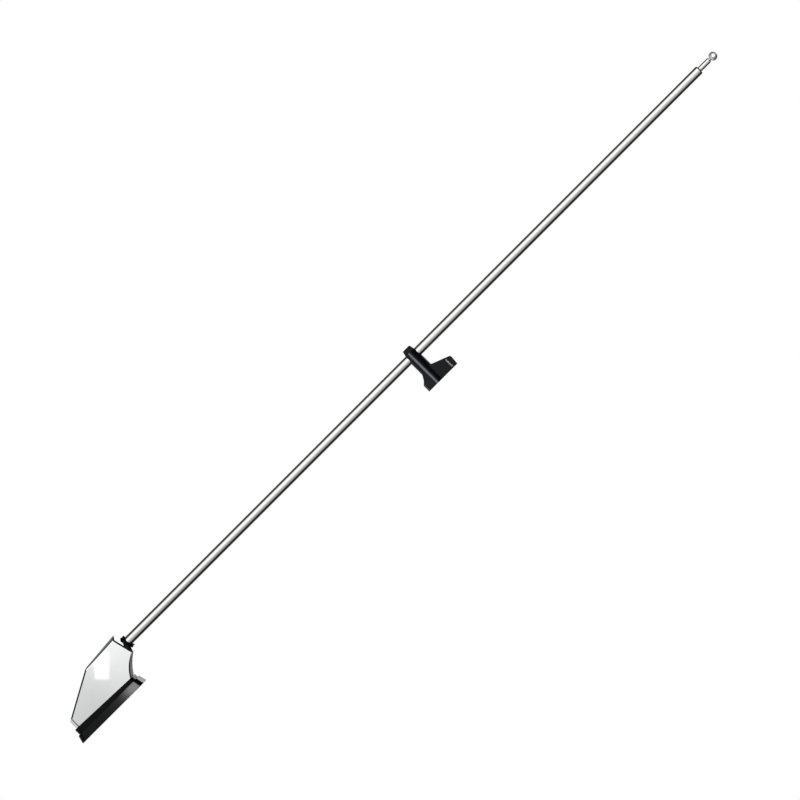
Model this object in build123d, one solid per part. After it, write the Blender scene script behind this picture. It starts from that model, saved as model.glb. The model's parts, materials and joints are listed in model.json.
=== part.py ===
from build123d import *

import math
import os

# Side-mounted telescopic vehicle aerial, retracted.  Millimetres.
# +Z runs up the mast.  The base pad's mounting face lies in the plane y = 0 and
# looks along +Y, towards the vehicle's pillar.  x = 0 is the plane of symmetry.
# The origin is the centre of the two fixing holes on the mounting face.

# ---- mast -------------------------------------------------------------------
MAST_REACH = 27.7          # mounting face to mast axis
TUBE_OD = 6.7              # outer tube
TUBE_WALL = 0.5
TUBE_TOP = 592.4           # height of the outer tube's rolled end
MIDDLE_OD = 3.9            # middle tube
MIDDLE_WALL = 0.4
MIDDLE_SHOWS = 9.4         # length of middle tube that stands out when retracted
ROD_OD = 2.2               # top rod
ROD_SHOWS = 0.4            # length of rod seen under the ball
BALL_OD = 6.2
LIP_T = 0.6                # rolled-in end of each tube
RUN = 0.04                 # radial clearance of a running fit
END_PLAY = 0.10            # axial clearance of a turning piece
FIT = 0.02                 # radial clearance of pieces fixed in one another

# ---- stops, springs and bushes inside the mast ------------------------------
PLUG_H = 6.0               # plug in the outer tube's foot
REST_GAP = 0.3             # air under each section when it is pushed home
STOP_T = 1.2               # flanges that keep each friction spring in place
STOP_GAP = 0.15            # flange to tube bore
LOWER_SPRING_L = 9.0
UPPER_SPRING_L = 7.0
SPRING_WALL = 0.6          # lower spring's sheet
UPPER_SPRING_WALL = 0.6
SPRING_SLOTS = 3
SLOT_W = 0.6
MIDDLE_SPIGOT = 6.0        # stop's spigot inside the middle tube
LOWER_BUSH_L = 8.0
UPPER_BUSH_L = 6.0

# ---- base: pad and plate ----------------------------------------------------
PAD_L = 58.4               # at the mounting face
PAD_W = 27.0
PAD_T = 5.8
PAD_FLARE = 1.35           # how far each side leans out over the pad's thickness
CORNER_R = 3.0
PLATE_INSET = 1.05         # plate's edge to the edge of the pad's top
PLATE_T_LOW = 4.6          # the plate is a wedge: thick at its lower end
PLATE_T_HIGH = 2.6
FIX_PITCH = 40.0
FIX_HOLE_R = 2.25
FIX_HEAD_R = 4.2
FIX_HEAD_T = 1.6
CABLE_R = 2.5
GROMMET_WALL = 1.5
GROMMET_FLANGE = 1.4
GROMMET_FLANGE_T = 1.2

# ---- base: cover and carrier ------------------------------------------------
COVER_STEP = 1.4           # the cover's lower end stands in from the plate's by this
BACK_STEP = 1.9            # and the foot of its back edge by this
COVER_WALL = 1.2
SIDE_R = 420.0             # the sides are shallow domes of this radius
NOSE_H = 6.3               # height of the lower end face
CREASE_OVER = 6.7          # crease under the outer face, beyond the mast axis
SHOULDER_OVER = 7.5        # ridge where it meets the slanted face, beyond the mast axis
SHOULDER_DROP = 30.9       # that place, below the crest
RIDGE_RISE = 0.085         # the ridge leaves the mast's direction by this slope
CREST_RISE = 12.4          # crowned end on the mast axis, above the plate's end
CREST_R = 21.6             # radius of that crown, seen from the front
CREST_TILT = 15.0          # degrees
SWEEP_UNDER = 7.5          # top of the concave back edge, on the pillar's side of the mast
SWEEP_DROP = 2.0           # and below the crest
SWEEP_SAG = 1.3            # depth of that edge's curve
BACK_PROUD = 0.4           # how far the carrier's back stands out of the cover
SEAM = 0.15                # gap between cover and plate, and round the carrier
EDGE_R = 1.3               # rounding of the edges round the sides and over the ridge
END_HOLE_R = 4.5
COLLAR_R = 5.1             # rubber collar round the mast
COLLAR_H = 2.7             # above the crest
COLLAR_DISH = 1.3
COLLAR_TILT = 11.0         # degrees; its rim follows the crest's slope
COLLAR_ROOT = 3.0          # how deep it starts, where the cover cuts it off

# ---- base: inner pieces -----------------------------------------------------
SOCKET_R = 5.0
SOCKET_L = 22.0
SOCKET_FLOOR = 2.0         # under the outer tube's foot
SOCKET_DROP = 5.2          # below the crest
M3_R = 1.5
HEAD_R = 2.6
HEAD_T = 1.6
DRIVE_W = 0.8
DRIVE_D = 0.8
TAG_T = 0.8
TAG_W = 6.0
COVER_SCREW_X = 6.6
COVER_SCREW_H = 3.1        # over the plate
COVER_SCREW_R = 1.25
COVER_HEAD_R = 2.2
COVER_HEAD_T = 1.1
LUG_L = 6.4
LUG_H = 5.0
LUG_W = 4.2
NUT_T = 1.8
NUT_W = 3.4

# ---- stand-off --------------------------------------------------------------
OFF_Z = 315.8              # centre of the column on the mast
COLUMN_H = 9.7             # along the mast
COLUMN_W = 13.0            # across the mast
HEAD_H = 6.2               # at its end
HEAD_W = 10.0
HEAD_OVER = 7.0            # head's end, beyond the mast axis
SHOULDER_OFF = 2.4         # where the column meets the head, off the mast axis
SHOULDER_H = 8.3           # its height there
HEAD_EDGE_R = 0.8
COLUMN_FULL_OFF = 4.2      # where it has its full height, short of the mast axis
FOOT_REACH = 2.7           # foot face to the mounting plane
WEB_W = 11.0
ARM_ROOT = 15.2
ARM_TIP = 10.2
ARM_L = 17.6               # column centre to the arm's end
HEEL_L = 9.4
HEEL_ROOT = 14.2
HEEL_TIP = 8.1
OFF_HOLE_UP = 13.8         # column centre to the fixing hole
OFF_HOLE_R = 2.1
SLEEVE_WALL = 0.8
SLEEVE_L = 7.7
SEAT_R = 4.0
WINDOW_W = 1.25
WINDOW_FOOT = 1.0
LINER_WALL = 0.55
LINER_RIM = 0.5
LINER_RIM_T = 0.9
LINER_L = 7.3
CLAMP_GAP = 0.3
INSERT_WALL = 0.8

# ---- worked-out values ------------------------------------------------------
MAST_Y = -MAST_REACH
PLATE_L = PAD_L - 2 * (PAD_FLARE + PLATE_INSET)
PLATE_W = PAD_W - 2 * (PAD_FLARE + PLATE_INSET) + 0.6
COVER_W = PLATE_W + 0.2
COVER_LOW = COVER_STEP - PLATE_L / 2
CREASE = MAST_REACH + CREASE_OVER
SHOULDER = MAST_REACH + SHOULDER_OVER
CREST_Z = PLATE_L / 2 + CREST_RISE
SHOULDER_Z = CREST_Z - SHOULDER_DROP
NOSE = PAD_T + PLATE_T_LOW + NOSE_H
SOCKET_TOP = CREST_Z - SOCKET_DROP
SOCKET_FOOT = SOCKET_TOP - SOCKET_L
TUBE_FOOT = SOCKET_FOOT + SOCKET_FLOOR
HEAD_REACH = MAST_REACH + HEAD_OVER
HEAD_SHOULDER = MAST_REACH + SHOULDER_OFF
COLUMN_FULL = MAST_REACH - COLUMN_FULL_OFF
OFF_HOLE_Z = OFF_Z + OFF_HOLE_UP
TUBE_R = TUBE_OD / 2
TUBE_BORE = TUBE_R - TUBE_WALL
MIDDLE_R = MIDDLE_OD / 2
MIDDLE_BORE = MIDDLE_R - MIDDLE_WALL
ROD_R = ROD_OD / 2
BALL_R = BALL_OD / 2
MIDDLE_TOP = TUBE_TOP + MIDDLE_SHOWS
BALL_SEAT = MIDDLE_TOP + ROD_SHOWS
PLUG_TOP = TUBE_FOOT + PLUG_H
LOWER_STOP = PLUG_TOP + REST_GAP
LOWER_SPRING = LOWER_STOP + STOP_T + END_PLAY
MIDDLE_FOOT = LOWER_SPRING + LOWER_SPRING_L + END_PLAY + STOP_T
UPPER_STOP = MIDDLE_FOOT + MIDDLE_SPIGOT + REST_GAP
UPPER_SPRING = UPPER_STOP + STOP_T + END_PLAY
ROD_FOOT = UPPER_SPRING + UPPER_SPRING_L + END_PLAY
LOWER_NECK_R = TUBE_BORE - RUN - SPRING_WALL - RUN
UPPER_NECK_R = MIDDLE_BORE - RUN - UPPER_SPRING_WALL - RUN
GROMMET_R = CABLE_R + GROMMET_WALL
LINER_R = TUBE_R + RUN + LINER_WALL
LINER_RIM_R = LINER_R + LINER_RIM
OFF_LOW = OFF_Z - COLUMN_H / 2
OFF_HIGH = OFF_Z + COLUMN_H / 2
LINER_LOW = OFF_Z - LINER_L / 2
LINER_HIGH = OFF_Z + LINER_L / 2


# ---- small helpers ----------------------------------------------------------
def post(radius, low, high, x=0.0, y=MAST_Y):
    """A round bar along Z, on the mast axis unless told otherwise."""
    return Pos(x, y, (low + high) / 2) * Cylinder(radius, high - low)


def ring(outer, inner, low, high, x=0.0, y=MAST_Y):
    """A plain tube along Z."""
    return post(outer, low, high, x, y) - post(inner, low, high, x, y)


def pin_y(radius, near, far, z, x=0.0):
    """A round bar along Y between two distances from the mounting plane."""
    bar = Rot(90, 0, 0) * Cylinder(radius, abs(far - near))
    return Pos(x, -(near + far) / 2, z) * bar


def brick(x_size, near, far, low, high, x=0.0):
    """A box from its width, its two reaches from the mounting plane and its two heights."""
    return Pos(x, -(near + far) / 2, (low + high) / 2) * Box(x_size, abs(far - near), high - low)


def side_prism(points, width):
    """A prism across X from (reach, height) points of its side view."""
    face = Polygon(*[(-reach, height) for reach, height in points], align=None)
    return extrude(Plane.YZ * face, amount=width / 2, both=True)


def plate_reach(z):
    """Reach of the plate's sloping top at height z."""
    share = (z + PLATE_L / 2) / PLATE_L
    return PAD_T + PLATE_T_LOW + share * (PLATE_T_HIGH - PLATE_T_LOW)


def cover_screw_reach():
    """Reach of the cover screws' axes."""
    return plate_reach(COVER_LOW) + COVER_SCREW_H


def hex_prism(across, low, high, x, y):
    """A hexagonal nut along Z."""
    face = Pos(x, y, low) * RegularPolygon(across / 2, 6, major_radius=False)
    return extrude(face, amount=high - low)


# ---- base: pad, plate, grommet ----------------------------------------------
def base_gasket():
    """Flared rubber pad between the plate and the pillar."""
    top = RectangleRounded(PAD_W - 2 * PAD_FLARE, PAD_L - 2 * PAD_FLARE, CORNER_R)
    foot = RectangleRounded(PAD_W, PAD_L, CORNER_R)
    pad = loft([Plane.XZ * foot, Plane.XZ.offset(PAD_T) * top])
    for z in (-FIX_PITCH / 2, FIX_PITCH / 2):
        pad -= pin_y(FIX_HOLE_R, -1, PAD_T + 1, z)
    return pad - pin_y(GROMMET_R + FIT, -1, PAD_T + 1, 0)


def base_plate():
    """Wedge-shaped plate with the fixing holes and two lugs that take the cover screws."""
    low, high = -PLATE_L / 2, PLATE_L / 2
    outline = [(PAD_T, low), (plate_reach(low), low), (plate_reach(high), high), (PAD_T, high)]
    plate = side_prism(outline, PLATE_W)
    corners = plate.edges().filter_by(Axis.Y)
    plate = fillet(corners, CORNER_R)
    lug_low = COVER_LOW + COVER_WALL + SEAM
    for x in (-COVER_SCREW_X, COVER_SCREW_X):
        foot = plate_reach(lug_low) - 1
        plate += brick(LUG_W, foot, foot + 1 + LUG_H, lug_low, lug_low + LUG_L, x)
        plate -= post(COVER_SCREW_R, lug_low - 1, lug_low + LUG_L + 1, x, -cover_screw_reach())
        nut_low = lug_low + (LUG_L - NUT_T) / 2
        slot = hex_prism(NUT_W, nut_low, nut_low + NUT_T, x, -cover_screw_reach())
        plate -= slot
    for z in (-FIX_PITCH / 2, FIX_PITCH / 2):
        plate -= pin_y(FIX_HOLE_R, 0, PAD_T + 9, z)
        plate -= pin_y(FIX_HEAD_R, plate_reach(z) - FIX_HEAD_T, PAD_T + 9, z)
    return plate - pin_y(GROMMET_R + FIT, 0, PAD_T + 9, 0)


def cable_grommet():
    """Rubber bush that leads the cable through the pad and the plate."""
    top = plate_reach(-GROMMET_R - GROMMET_FLANGE)
    bush = pin_y(GROMMET_R, 0, top, 0)
    bush += pin_y(GROMMET_R + GROMMET_FLANGE, top, top + GROMMET_FLANGE_T, 0)
    return bush - pin_y(CABLE_R, -1, top + GROMMET_FLANGE_T + 1, 0)


# ---- base: cover and carrier ------------------------------------------------
def crest(inset):
    """Everything below the crowned upper end."""
    tilt = math.radians(CREST_TILT)
    along = (0, math.cos(tilt), math.sin(tilt))
    plane = Plane(origin=(0, MAST_Y, CREST_Z - inset), x_dir=(1, 0, 0), z_dir=along)
    radius = CREST_R - inset
    shape = Pos(0, CREST_R) * Circle(radius + inset)
    shape += Pos(0, CREST_R + 45) * Rectangle(2 * CREST_R, 90)
    return extrude(plane * shape, amount=60, both=True)


def roof_section(z, inset):
    """Cross-section under the roof at height z, wider than the cover, with a crowned top."""
    half = COVER_W / 2
    crease = CREASE - inset
    crown = max(0.3, SHOULDER + RIDGE_RISE * (z - SHOULDER_Z) - CREASE)
    with BuildSketch(Plane.XY.offset(z)) as section:
        with BuildLine():
            Polyline((-half, -crease), (-half, 0), (half, 0), (half, -crease))
            ThreePointArc((half, -crease), (0, -crease - crown), (-half, -crease))
        make_face()
    return section.sketch


def back_edge(low_z, proud):
    """Top, middle and foot of the concave back edge, as (y, z) in the side view."""
    top = Vector(-MAST_REACH + SWEEP_UNDER, CREST_Z - SWEEP_DROP)
    foot = Vector(-plate_reach(low_z) - SEAM, low_z)
    chord = foot - top
    outward = Vector(-chord.Y, chord.X).normalized()
    middle = (top + foot) / 2 + outward * (proud - SWEEP_SAG)
    return [(point.X, point.Y) for point in (top, middle, foot)]


def side_outline(inset):
    """Side view of the cover, closed along the plate and the concave back edge."""
    low = COVER_LOW + inset
    slope = (SHOULDER - NOSE) / (SHOULDER_Z - COVER_LOW)
    nose = NOSE + slope * inset - inset * math.hypot(1, slope)
    far = SHOULDER + 12
    far_z = low + (far - nose) / slope
    top_z = CREST_Z + 12
    top, middle, foot = back_edge(PLATE_L / 2 - BACK_STEP, 0)
    with BuildSketch(Plane.YZ) as outline:
        with BuildLine():
            Polyline(
                foot,
                (-plate_reach(COVER_LOW) - SEAM, low),
                (-nose, low),
                (-far, far_z),
                (-far, top_z),
                (top[0], top_z),
                top,
            )
            ThreePointArc(top, middle, foot)
        make_face()
    return outline.sketch


def side_dome(inset):
    """A big ball whose +X side bounds the cover's +X side; it is widest at the plate."""
    centre_z = (COVER_LOW + CREST_Z) / 2
    ball = Rot(0, 0, 180) * Sphere(SIDE_R - inset)
    return Pos(COVER_W / 2 - SIDE_R, -PAD_T, centre_z) * ball


def cover_form(inset):
    """The cover's outer form, shrunk by inset on its closed sides."""
    form = extrude(side_outline(inset), amount=COVER_W, both=True)
    split = SHOULDER_Z - 6
    lower = extrude(roof_section(split, inset), amount=split - COVER_LOW + 5, dir=(0, 0, -1))
    upper = loft([roof_section(split, inset), roof_section(CREST_Z + 8, inset)])
    form = form & (lower + upper) & crest(inset)
    dome = side_dome(inset)
    return form & dome & mirror(dome, Plane.YZ)


def open_form(inset):
    """The shrunk form run out through the cover's open bottom and back."""
    inner = cover_form(inset)
    return inner + Pos(0, 3, 0) * inner + Pos(0, 6, 0) * inner


def cover_screw_holes(radius, low, high):
    """The pair of cover screws' bores, as bars."""
    xs = (-COVER_SCREW_X, COVER_SCREW_X)
    return [post(radius, low, high, x, -cover_screw_reach()) for x in xs]


def base_cover():
    """Plated shell: crowned end, ridge roof, slanted face, open along the plate and the back."""
    shell = cover_form(0)
    corners = [
        edge
        for edge in shell.edges()
        if abs(edge.center().Z - COVER_LOW) < 0.1 and abs(edge.center().X) > COVER_W / 3
    ]
    shell = fillet(corners, CORNER_R)
    rim = [edge for edge in shell.edges() if -edge.center().Y > MAST_REACH - TUBE_OD]
    shell = fillet(rim, EDGE_R)
    shell -= open_form(COVER_WALL)
    shell -= post(END_HOLE_R, SOCKET_TOP, CREST_Z + 9)
    for bore in cover_screw_holes(COVER_SCREW_R + 0.15, COVER_LOW - 1, COVER_LOW + 3):
        shell -= bore
    for bore in cover_screw_holes(COVER_HEAD_R + 0.1, COVER_LOW - 1, COVER_LOW + COVER_HEAD_T - 0.5):
        shell -= bore
    return shell


def base_carrier():
    """Moulded core inside the cover; it carries the mast and insulates it."""
    core = open_form(COVER_WALL + SEAM)
    lug_end = COVER_LOW + COVER_WALL + LUG_L + 2 * SEAM
    reach_out = CREASE + 8
    top = CREST_Z + 8
    back_top, middle, foot = back_edge(PLATE_L / 2 - BACK_STEP + 2 * BACK_PROUD, BACK_PROUD)
    with BuildSketch(Plane.YZ) as limit:
        with BuildLine():
            Polyline(
                foot,
                (-plate_reach(lug_end) - SEAM, lug_end),
                (-reach_out, lug_end),
                (-reach_out, top),
                (back_top[0], top),
                back_top,
            )
            ThreePointArc(back_top, middle, foot)
        make_face()
    core &= extrude(limit.sketch, amount=COVER_W, both=True)
    cavity_w = 2 * (GROMMET_R + GROMMET_FLANGE) + 1
    cavity_low = lug_end + 1.5
    core -= brick(cavity_w, 0, MAST_REACH - SOCKET_R, cavity_low, SOCKET_FOOT - 3)
    core -= brick(cavity_w, 0, MAST_REACH + TAG_W / 2 + 1, 0, SOCKET_FOOT)
    core -= post(SOCKET_R + FIT, SOCKET_FOOT - 1, SOCKET_TOP)
    core -= post(END_HOLE_R, SOCKET_TOP - 1, top)
    core -= pin_y(FIX_HEAD_R + 0.4, 0, plate_reach(FIX_PITCH / 2) + 4, FIX_PITCH / 2)
    core -= pin_y(HEAD_R + 0.2, 0, MAST_REACH - SOCKET_R, set_screw_z())
    core -= pin_y(M3_R + FIT, 0, MAST_REACH, set_screw_z())
    return core


def cover_screws():
    """Two countersunk screws through the lower end face into the plate's lugs."""
    seat = COVER_LOW + COVER_HEAD_T - 0.6
    screws = []
    for x in (-COVER_SCREW_X, COVER_SCREW_X):
        at = Pos(x, -cover_screw_reach(), 0)
        head = at * Pos(0, 0, COVER_LOW + 0.25) * Cylinder(COVER_HEAD_R, 0.5)
        tip = COVER_LOW + COVER_WALL + SEAM + LUG_L
        shank = post(COVER_SCREW_R - FIT, seat, tip, x, -cover_screw_reach())
        cross = at * Pos(0, 0, COVER_LOW) * (Box(0.6, 2.6, 0.6) + Box(2.6, 0.6, 0.6))
        screws.append(head + shank - cross)
    return Compound(children=screws)


def cover_nuts():
    """Two nuts held in the plate's lugs."""
    low = COVER_LOW + COVER_WALL + SEAM + (LUG_L - NUT_T) / 2
    nuts = []
    for x in (-COVER_SCREW_X, COVER_SCREW_X):
        nut = hex_prism(NUT_W - 2 * FIT, low + FIT, low + NUT_T - FIT, x, -cover_screw_reach())
        nuts.append(nut - post(COVER_SCREW_R, low - 1, low + NUT_T + 1, x, -cover_screw_reach()))
    return Compound(children=nuts)


def mast_grommet():
    """Dished rubber collar that seals the mast's way out of the cover."""
    lean = Pos(0, MAST_Y, CREST_Z) * Rot(COLLAR_TILT, 0, 0)
    body_h = COLLAR_H + COLLAR_ROOT
    collar = lean * Pos(0, 0, COLLAR_H - body_h / 2) * Cylinder(COLLAR_R, body_h)
    dish = lean * Pos(0, 0, COLLAR_H - COLLAR_DISH / 2)
    collar -= dish * Cone(TUBE_R + 0.5, COLLAR_R - 0.5, COLLAR_DISH + 0.01)
    collar -= cover_form(0)
    collar += post(END_HOLE_R - FIT, SOCKET_TOP + 0.3, CREST_Z)
    return collar - post(TUBE_R + FIT, SOCKET_TOP - 1, CREST_Z + body_h)


# ---- base: inner pieces -----------------------------------------------------
def set_screw_z():
    """Height of the screw that grips the mast, level with the top of the tube's plug."""
    return PLUG_TOP


def mast_socket():
    """Turned socket that holds the outer tube's foot."""
    socket = post(SOCKET_R, SOCKET_FOOT, SOCKET_TOP)
    socket -= post(TUBE_R + FIT, TUBE_FOOT, SOCKET_TOP + 1)
    socket -= post(M3_R, SOCKET_FOOT - 1, TUBE_FOOT + 1)
    return socket - pin_y(M3_R, 0, MAST_REACH, set_screw_z())


def mast_set_screw():
    """Slotted screw through the socket's wall onto the tube."""
    head_far = MAST_REACH - SOCKET_R - FIT
    screw = pin_y(M3_R - FIT, head_far - 1, MAST_REACH - TUBE_R - FIT, set_screw_z())
    screw += pin_y(HEAD_R, head_far - HEAD_T, head_far, set_screw_z())
    slot_far = head_far - HEAD_T + DRIVE_D
    slot = brick(
        DRIVE_W, head_far - HEAD_T - 1, slot_far, set_screw_z() - HEAD_R, set_screw_z() + HEAD_R
    )
    return screw - slot


def signal_terminal():
    """Solder tag under the socket; its tongue hangs towards the cable."""
    low, high = SOCKET_FOOT - TAG_T, SOCKET_FOOT
    tag = post(TAG_W / 2, low, high) + brick(TAG_W / 2, MAST_REACH - 12, MAST_REACH, low, high)
    tag -= post(0.8, low - 1, high + 1, 0, MAST_Y + 10)
    return tag - post(M3_R, low - 1, high + 1)


def terminal_screw():
    """Slotted screw that holds the solder tag to the socket."""
    low = SOCKET_FOOT - TAG_T
    screw = post(M3_R - FIT, low - 1, TUBE_FOOT - FIT) + post(HEAD_R, low - HEAD_T, low)
    return screw - brick(
        DRIVE_W, MAST_REACH - HEAD_R, MAST_REACH + HEAD_R, low - HEAD_T - 1, low - HEAD_T + DRIVE_D
    )


def earth_terminal():
    """Ring tag under the lower fixing screw's head, with a tongue for the cable's braid."""
    z = -FIX_PITCH / 2
    foot = plate_reach(z) - FIX_HEAD_T
    tag = pin_y(FIX_HEAD_R - 0.2, foot, foot + TAG_T, z)
    return tag - pin_y(FIX_HOLE_R, foot - 1, foot + TAG_T + 1, z)


# ---- mast -------------------------------------------------------------------
def rolled_tube(outer, bore, rod_r, foot, top):
    """A tube whose upper end is rolled in round the next section."""
    tube = ring(outer, bore, foot, top)
    tube += ring(outer, rod_r + 3 * RUN, top - LIP_T, top)
    rim = tube.edges().filter_by(GeomType.CIRCLE).group_by(Axis.Z)[-1].sort_by(SortBy.RADIUS)[-1]
    return fillet(rim, 0.8 * LIP_T)


def mast_tube():
    """Outer tube of the mast."""
    return rolled_tube(TUBE_R, TUBE_BORE, MIDDLE_R, TUBE_FOOT, TUBE_TOP)


def tube_end_plug():
    """Plug in the outer tube's foot; the middle section rests above it."""
    return post(TUBE_BORE - FIT, TUBE_FOOT, PLUG_TOP)


def tube_guide_bush():
    """Bush under the outer tube's rolled end."""
    top = TUBE_TOP - LIP_T
    return ring(TUBE_BORE - FIT, MIDDLE_R + RUN, top - LOWER_BUSH_L, top)


def middle_tube():
    """Middle tube of the mast."""
    return rolled_tube(MIDDLE_R, MIDDLE_BORE, ROD_R, MIDDLE_FOOT, MIDDLE_TOP)


def middle_guide_bush():
    """Bush under the middle tube's rolled end."""
    top = MIDDLE_TOP - LIP_T
    return ring(MIDDLE_BORE - FIT, ROD_R + RUN, top - UPPER_BUSH_L, top)


def middle_stop():
    """Spool on the middle tube's foot: two flanges and the neck that the spring turns on."""
    flange_r = TUBE_BORE - STOP_GAP
    stop = post(flange_r, LOWER_STOP, LOWER_STOP + STOP_T)
    stop += post(LOWER_NECK_R, LOWER_STOP, MIDDLE_FOOT)
    stop += post(flange_r, MIDDLE_FOOT - STOP_T, MIDDLE_FOOT)
    return stop + post(MIDDLE_BORE - FIT, MIDDLE_FOOT - 1, MIDDLE_FOOT + MIDDLE_SPIGOT)


def slotted_spring(outer, wall, low, length):
    """A friction spring: a sleeve with lengthwise slots that leave both ends whole."""
    sleeve = ring(outer, outer - wall, low, low + length)
    for i in range(SPRING_SLOTS):
        slot = Pos(outer, 0, low + length / 2) * Box(2 * outer, SLOT_W, length - 3)
        sleeve -= Pos(0, MAST_Y, 0) * Rot(0, 0, 360 * i / SPRING_SLOTS) * slot
    return sleeve


def lower_friction_spring():
    """Spring between the middle section and the outer tube."""
    return slotted_spring(TUBE_BORE - RUN, SPRING_WALL, LOWER_SPRING, LOWER_SPRING_L)


def upper_friction_spring():
    """Spring between the top rod and the middle tube."""
    return slotted_spring(MIDDLE_BORE - RUN, UPPER_SPRING_WALL, UPPER_SPRING, UPPER_SPRING_L)


def top_rod():
    """Solid top section; its foot is turned down to the neck that the spring turns on."""
    return post(ROD_R, ROD_FOOT, BALL_SEAT + BALL_R) + post(UPPER_NECK_R, UPPER_STOP, ROD_FOOT)


def rod_stop():
    """Collar riveted on the top rod's foot."""
    return ring(MIDDLE_BORE - STOP_GAP, UPPER_NECK_R + FIT / 2, UPPER_STOP, UPPER_STOP + STOP_T)


def tip_ball():
    """Safety ball pressed on the top rod."""
    ball = Pos(0, MAST_Y, BALL_SEAT + BALL_R) * Sphere(BALL_R)
    return ball - post(ROD_R + FIT / 2, BALL_SEAT - 1, BALL_SEAT + BALL_R)


# ---- stand-off --------------------------------------------------------------
def stand_off_bracket():
    """Moulded bracket: round column across the mast, head, and a foot with heel and arm."""
    column = SlotOverall(COLUMN_W, COLUMN_H)
    column = extrude(
        Plane.XZ.offset(FOOT_REACH) * Pos(0, OFF_Z) * column, amount=HEAD_SHOULDER - FOOT_REACH + 1
    )
    half = HEAD_H / 2
    neck = SHOULDER_H / 2
    shoulder = [
        (FOOT_REACH, OFF_LOW - 1),
        (COLUMN_FULL, OFF_LOW - 1),
        (COLUMN_FULL, OFF_LOW),
        (HEAD_SHOULDER, OFF_Z - neck),
        (HEAD_REACH, OFF_Z - half),
        (HEAD_REACH, OFF_Z + half),
        (HEAD_SHOULDER, OFF_Z + neck),
        (COLUMN_FULL, OFF_HIGH),
        (COLUMN_FULL, OFF_HIGH + 1),
        (FOOT_REACH, OFF_HIGH + 1),
    ]
    column &= side_prism(shoulder, 2 * COLUMN_W)
    head = side_prism(
        [
            (HEAD_SHOULDER, OFF_Z - neck),
            (HEAD_REACH, OFF_Z - half),
            (HEAD_REACH, OFF_Z + half),
            (HEAD_SHOULDER, OFF_Z + neck),
        ],
        HEAD_W,
    )
    head = fillet(head.faces().sort_by(Axis.Y)[0].edges(), HEAD_EDGE_R)
    web = side_prism(
        [
            (FOOT_REACH, OFF_Z - HEEL_L),
            (HEEL_TIP, OFF_Z - HEEL_L),
            (HEEL_TIP + 2.3, OFF_Z - HEEL_L + 2.4),
            (HEEL_ROOT, OFF_LOW + 0.1),
            (HEEL_ROOT + 3, OFF_Z),
            (ARM_ROOT, OFF_HIGH - 0.1),
            (ARM_TIP, OFF_Z + ARM_L),
            (ARM_TIP - 1.2, OFF_Z + ARM_L + 0.5),
            (FOOT_REACH, OFF_Z + ARM_L),
        ],
        WEB_W,
    )
    web = fillet(web.edges().filter_by(Axis.Y), 1.0)
    body = column + head + web
    body -= post(LINER_R + RUN, OFF_LOW - 1, OFF_HIGH + 1)
    rim_bore = LINER_RIM_R + RUN
    rim_t = LINER_RIM_T + END_PLAY
    body -= post(rim_bore, OFF_LOW - 1, LINER_LOW + rim_t)
    body -= post(rim_bore, LINER_HIGH - rim_t, OFF_HIGH + 1)
    body -= pin_y(insert_r() + FIT, MAST_REACH, HEAD_REACH + 1, OFF_Z)
    sleeve_r = OFF_HOLE_R + SLEEVE_WALL
    body -= pin_y(sleeve_r + FIT, 0, 30, OFF_HOLE_Z) & pin_y(20, 0, sleeve_top() + 0.05, OFF_HOLE_Z)
    body -= pin_y(SEAT_R, sleeve_top(), sleeve_top() + 9, OFF_HOLE_Z)
    window = brick(
        2 * WEB_W,
        FOOT_REACH + WINDOW_FOOT,
        sleeve_top() + 0.05,
        OFF_HOLE_Z - WINDOW_W / 2,
        OFF_HOLE_Z + WINDOW_W / 2,
    )
    return body - window


def sleeve_top():
    """Reach of the foot sleeve's outer end."""
    return FOOT_REACH + SLEEVE_L


def foot_sleeve():
    """Metal sleeve that takes the fixing screw's load through the foot."""
    outer = OFF_HOLE_R + SLEEVE_WALL
    sleeve = pin_y(outer, FOOT_REACH, sleeve_top(), OFF_HOLE_Z)
    return sleeve - pin_y(OFF_HOLE_R, 0, sleeve_top() + 1, OFF_HOLE_Z)


def insert_r():
    """Outer radius of the clamp screw's insert."""
    return M3_R + INSERT_WALL


def clamp_insert():
    """Threaded insert in the stand-off's head."""
    near = MAST_REACH + LINER_R + CLAMP_GAP
    insert = pin_y(insert_r(), near, HEAD_REACH - 0.2, OFF_Z)
    return insert - pin_y(M3_R, near - 1, HEAD_REACH + 1, OFF_Z)


def clamp_screw():
    """Headless slotted screw that locks the liner in the stand-off."""
    near = MAST_REACH + LINER_R + CLAMP_GAP
    far = HEAD_REACH - 0.4
    screw = pin_y(M3_R - FIT, near, far, OFF_Z)
    return screw - brick(M3_R * 3, far - DRIVE_D, far + 1, OFF_Z - DRIVE_W / 2, OFF_Z + DRIVE_W / 2)


def stand_off_liner():
    """Split nylon liner that slides on the mast; the bracket turns on it."""
    liner = ring(LINER_R, TUBE_R + RUN, LINER_LOW, LINER_HIGH)
    liner += ring(LINER_RIM_R, TUBE_R + RUN, LINER_LOW, LINER_LOW + LINER_RIM_T)
    liner += ring(LINER_RIM_R, TUBE_R + RUN, LINER_HIGH - LINER_RIM_T, LINER_HIGH)
    split = brick(0.8, MAST_REACH - 9, MAST_REACH - TUBE_R / 2, OFF_LOW - 1, OFF_HIGH + 1)
    return liner - split


NODES = [
    base_gasket,
    base_plate,
    base_cover,
    base_carrier,
    cable_grommet,
    cover_screws,
    cover_nuts,
    mast_grommet,
    mast_socket,
    mast_set_screw,
    signal_terminal,
    terminal_screw,
    earth_terminal,
    mast_tube,
    tube_end_plug,
    tube_guide_bush,
    lower_friction_spring,
    middle_tube,
    middle_stop,
    middle_guide_bush,
    upper_friction_spring,
    top_rod,
    rod_stop,
    tip_ball,
    stand_off_liner,
    stand_off_bracket,
    foot_sleeve,
    clamp_insert,
    clamp_screw,
]


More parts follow.
